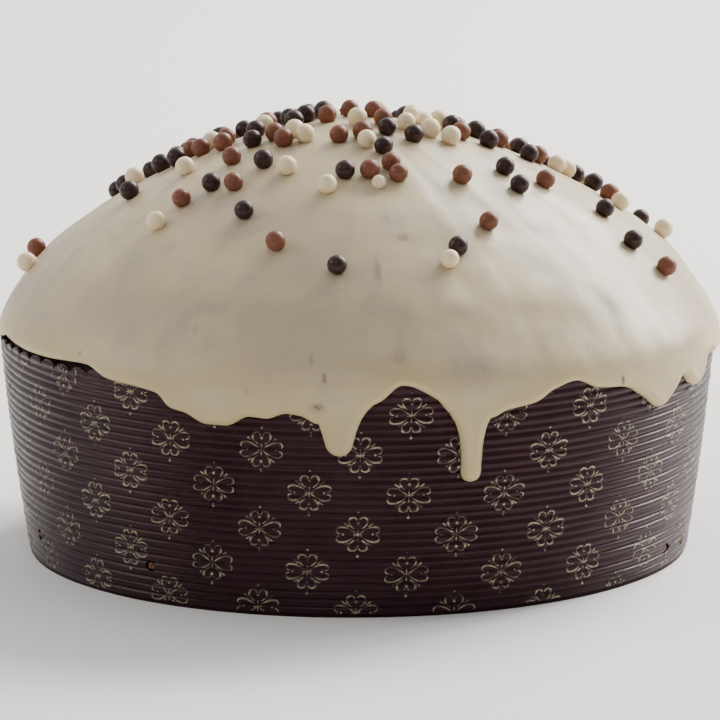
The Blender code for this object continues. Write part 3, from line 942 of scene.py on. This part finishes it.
def blemish_at(point):
    """Strength of the blemishes at a point of the icing, from 0 to 1."""
    x, y, z = point / MM
    bearing = math.degrees(math.atan2(x, -y))
    if abs(bearing) > BLEMISHES_WITHIN:
        return 0.0
    radius = math.hypot(x, y)
    strength = 0.0
    for centre, height, half_width, half_height, force in BLEMISHES:
        across = math.radians(bearing - centre) * radius / half_width
        up = (z - height) / half_height
        strength = max(strength, force * math.exp(-(across**2) - up**2))
    return min(strength, 1.0)


def pearl_places():
    """Bearing, distance and chocolate of each pearl: the listed ones, then the seeded rest."""
    places = list(SHOWN_PEARLS)
    draw = random.Random(PEARL_SEED)
    kinds = random.Random(PEARL_SEED + 1)

    def add(x, y):
        """Takes a spot if no pearl is near it."""
        spot = Vector((x, y, 0.0))
        if all((spot - around(b, d, 0.0) / MM).length > PEARL_SPACING for b, d, _ in places):
            chocolate = kinds.choice(("dark", "milk", "white"))
            places.append((math.degrees(math.atan2(x, -y)), math.hypot(x, y), chocolate))

    while len(places) < len(SHOWN_PEARLS) + CROWD_COUNT:
        turn, reach = draw.uniform(0.0, math.tau), math.sqrt(draw.random())
        x = CROWD_REACH[0] * reach * math.cos(turn)
        y = CROWD_MIDDLE + CROWD_REACH[1] * reach * math.sin(turn)
        if y > CROWD_SLOPE * abs(x) - CROWD_FRONT:
            add(x, y)
    while len(places) < len(SHOWN_PEARLS) + CROWD_COUNT + BACK_PEARLS:
        bearing = 180.0 + draw.uniform(-BACK_PEARLS_SPAN, BACK_PEARLS_SPAN)
        spot = around(bearing, draw.uniform(*BACK_PEARLS_DISTANCE), 0.0) / MM
        add(spot.x, spot.y)
    return places


def make_pearls(icing, kind, material):
    """All pearls of one chocolate, each a little uneven, sunk into the icing where it lies."""
    draw = random.Random(kind)
    points, faces = [], []
    for bearing, distance, chocolate in pearl_places():
        if chocolate != kind:
            continue
        _, ground, up, _ = icing.ray_cast(around(bearing, distance, ABOVE_ALL), (0.0, 0.0, -1.0))
        size = PEARL_RADIUS * draw.uniform(*PEARL_SIZES)
        if (bearing, distance) == SMALL_PEARL:
            size *= SMALL_PEARL_SCALE
        ball = bmesh.new()
        bmesh.ops.create_icosphere(ball, subdivisions=3, radius=size * MM)
        turn = Euler([draw.uniform(0, math.tau) for _ in range(3)]).to_matrix()
        flat = Vector((1.0, draw.uniform(*PEARL_WIDTHS), draw.uniform(*PEARL_HEIGHTS)))
        middle = ground + up.normalized() * (size - PEARL_SINK) * MM
        start = len(points)
        for v in ball.verts:
            knob = 1.0 + PEARL_KNOBS * noise.noise((v.co + middle) / (PEARL_KNOB_SIZE * MM))
            points.append(middle + turn @ (v.co * flat * knob))
        faces += [tuple(start + v.index for v in f.verts) for f in ball.faces]
        ball.free()
    return mesh_object(kind + "_chocolate_pearls", points, faces, material)


def bezier(a, b, c, d, count):
    """Points along a cubic curve."""
    t = np.linspace(0.0, 1.0, count)[:, None]
    a, b, c, d = (np.array(p, float) for p in (a, b, c, d))
    return a * (1 - t) ** 3 + 3 * b * t * (1 - t) ** 2 + 3 * c * t * t * (1 - t) + d * t**3


def petal_strokes(direction, length, half_width, side, thin, thick):
    """The four strokes of one heart-shaped petal: both sides, and the lobe that rolls in at each."""
    turn = math.radians(direction)
    spin = np.array(((math.cos(turn), math.sin(turn)), (-math.sin(turn), math.cos(turn))))
    strokes = []
    for mirror in (1.0, -1.0):
        scale = np.array((length, half_width * mirror))
        for curve, start, end in ((side, thin, thick), (LOBE, thick, thin)):
            line = bezier(*curve, CURVE_SAMPLES) * scale @ spin
            strokes.append((line, start, end))
    return strokes


def flower():
    """Strokes and dots of the ornament round (0, 0): a stroke has its points and its width at both ends."""
    strokes = [stroke for petal in PETALS for stroke in petal_strokes(*petal)]
    strokes += [(np.linspace(start, end, RAY_SAMPLES), thin, thick) for start, end, thin, thick in RAYS]
    return strokes, DOTS


def ribbon(line, start_width, end_width):
    """Left and right points along a stroke, a printing step apart."""
    lengths = np.concatenate([[0.0], np.cumsum(np.hypot(*np.diff(line, axis=0).T))])
    count = max(int(lengths[-1] / PRINT_STEP), 2) + 1
    at = np.linspace(0.0, lengths[-1], count)
    middle = np.stack([np.interp(at, lengths, line[:, 0]), np.interp(at, lengths, line[:, 1])], axis=-1)
    along = np.gradient(middle, axis=0)
    along /= np.hypot(*along.T)[:, None]
    half = np.linspace(start_width, end_width, count)[:, None] / 2
    side = np.stack([-along[:, 1], along[:, 0]], axis=-1) * half
    return np.stack([middle + side, middle - side], axis=1).reshape(-1, 2)


def flower_mesh():
    """Flat points and faces of one flower: ribbons for its strokes, small fans for its dots."""
    strokes, dots = flower()
    points, faces = [], []
    for line, start_width, end_width in strokes:
        first = len(points)
        points += list(ribbon(line, start_width, end_width))
        faces += [(k + 1, k + 3, k + 2, k) for k in range(first, len(points) - 3, 2)]
    for (x, y), radius in dots:
        first = len(points)
        points.append((x, y))
        for k in range(DOT_SIDES):
            turn = math.tau * k / DOT_SIDES
            points.append((x + radius * math.cos(turn), y + radius * math.sin(turn)))
        faces += [(first, first + 1 + k, first + 1 + (k + 1) % DOT_SIDES) for k in range(DOT_SIDES)]
    return np.array(points), faces


def make_print():
    """The staggered flowers all round the wall, laid on the flutes, meeting in the seam at the back."""
    flat, pattern = flower_mesh()
    fine = np.linspace(-180.0, 180.0, PRINT_SAMPLES)
    icing_edge, paper_edge = edge_height(fine), scalloped_rim(fine)
    points, faces, crests = [], [], []
    for column in range(-PRINT_COLUMNS, PRINT_COLUMNS + 1):
        for row in PRINT_ROWS:
            if (row + column) % 2 == 0:
                continue
            height = PRINT_TOP_ROW - PRINT_ROW_STEP * row - PRINT_DROP * column + flat[:, 1]
            across = (PRINT_COLUMN_STEP * column + flat[:, 0]) / paper_radius(height)
            bearing = np.degrees(across) + PRINT_TURN + PRINT_LEAN * (height - RIM_HEIGHT / 2)
            on_wall = (height > PRINT_ABOVE_FOOT) & (np.abs(bearing) < 180.0)
            on_wall &= height < np.interp(bearing, fine, icing_edge) + PRINT_UNDER_ICING
            on_wall &= height < np.interp(bearing, fine, paper_edge) - PRINT_BELOW_RIM
            start = sum(len(block) for block in points)
            points.append(points_around(bearing, flute_radius(bearing, height) + PRINT_LIFT, height))
            crests.append(flute_crest(height))
            faces += [tuple(start + k for k in face) for face in pattern if on_wall[list(face)].all()]
    ink = mesh_object("gold_print", np.concatenate(points), faces, print_finish())
    # How high each point lies on its flute sets the ink's painted shade in the grooves.
    carry(ink, "crest", np.concatenate(crests))
    work = bmesh.new()
    work.from_mesh(ink.data)
    bmesh.ops.delete(work, geom=[v for v in work.verts if not v.link_faces], context="VERTS")
    work.to_mesh(ink.data)
    work.free()
    return ink


def add_camera():
    """The photograph's view: a long lens from the front, a little above."""
    data = bpy.data.cameras.new("camera")
    data.lens = CAMERA_LENS
    data.sensor_width = CAMERA_SENSOR
    data.clip_end = CAMERA_SEES_TO
    camera = bpy.data.objects.new("camera", data)
    camera.location = (0.0, -CAMERA_DISTANCE * MM, CAMERA_HEIGHT * MM)
    pitch = Matrix.Rotation(math.radians(90.0 - CAMERA_PITCH), 4, "X")
    roll = Matrix.Rotation(math.radians(CAMERA_ROLL), 4, "Z")
    yaw = Matrix.Rotation(math.radians(CAMERA_YAW), 4, "Z")
    camera.rotation_euler = (yaw @ pitch @ roll).to_euler()
    bpy.context.scene.collection.objects.link(camera)
    bpy.context.scene.camera = camera


def add_softbox(name, place, size, power):
    """A soft light of a width and a height, that looks at the middle of the cake."""
    data = bpy.data.lights.new(name, "AREA")
    data.shape = "RECTANGLE"
    data.size, data.size_y = size
    data.energy = power
    data.color = WARM_WHITE
    lamp = bpy.data.objects.new(name, data)
    lamp.location = place
    lamp.rotation_euler = (LIGHTS_LOOK_AT - Vector(place)).to_track_quat("-Z", "Y").to_euler()
    bpy.context.scene.collection.objects.link(lamp)


def add_world():
    """A studio that is bright behind and to the right of the cake, and dim on the camera's side."""
    world = bpy.data.worlds.new("studio")
    world.use_nodes = True
    tree = world.node_tree
    direction = tree.nodes.new("ShaderNodeTexCoord").outputs["Generated"]
    across = tree.nodes.new("ShaderNodeVectorMath")
    across.operation = "DOT_PRODUCT"
    across.inputs[1].default_value = GLOW_DIRECTION
    tree.links.new(direction, across.inputs[0])
    glow = tree.nodes.new("ShaderNodeMapRange")
    glow.inputs["From Min"].default_value = GLOW_FROM
    glow.inputs["From Max"].default_value = GLOW_TO
    glow.inputs["To Min"].default_value = GLOW_DIM
    glow.inputs["To Max"].default_value = GLOW_BRIGHT
    tree.links.new(across.outputs["Value"], glow.inputs["Value"])
    background = tree.nodes["Background"]
    background.inputs["Color"].default_value = (1.0, 1.0, 1.0, 1.0)
    tree.links.new(glow.outputs["Result"], background.inputs["Strength"])
    bpy.context.scene.world = world


def add_studio():
    """Plain pale floor and soft lights: strong from behind on the right, weak from the left and front."""
    bpy.ops.mesh.primitive_plane_add(size=FLOOR_SIZE, location=(0.0, 0.0, 0.0))
    floor = bpy.context.object
    floor.name = "floor"
    paint = bpy.data.materials.new("pale_floor")
    paint.use_nodes = True
    shader = paint.node_tree.nodes["Principled BSDF"]
    shader.inputs["Base Color"].default_value = (FLOOR_GREY, FLOOR_GREY, FLOOR_GREY, 1.0)
    shader.inputs["Roughness"].default_value = FLOOR_ROUGHNESS
    floor.data.materials.append(paint)
    add_world()
    for softbox in SOFTBOXES:
        add_softbox(*softbox)


def main():
    """Sets up the studio, makes the pieces, hangs them on the root body and hides the solids that they
    replace.
    """
    add_camera()
    add_studio()
    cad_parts["cake"].data.materials.clear()
    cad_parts["cake"].data.materials.append(crust_finish())
    paper = make_paper()
    crumbs = make_crumbs()
    ink = make_print()
    icing = make_icing()
    pearls = [make_pearls(icing, kind, pearl_finish(kind, *looks)) for kind, *looks in CHOCOLATES]
    for piece in (paper, crumbs, ink, icing, *pearls):
        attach(piece, "root")
    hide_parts("paper_mould")
    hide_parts("icing")
    for piece in pearls:
        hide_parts("icing")


main()
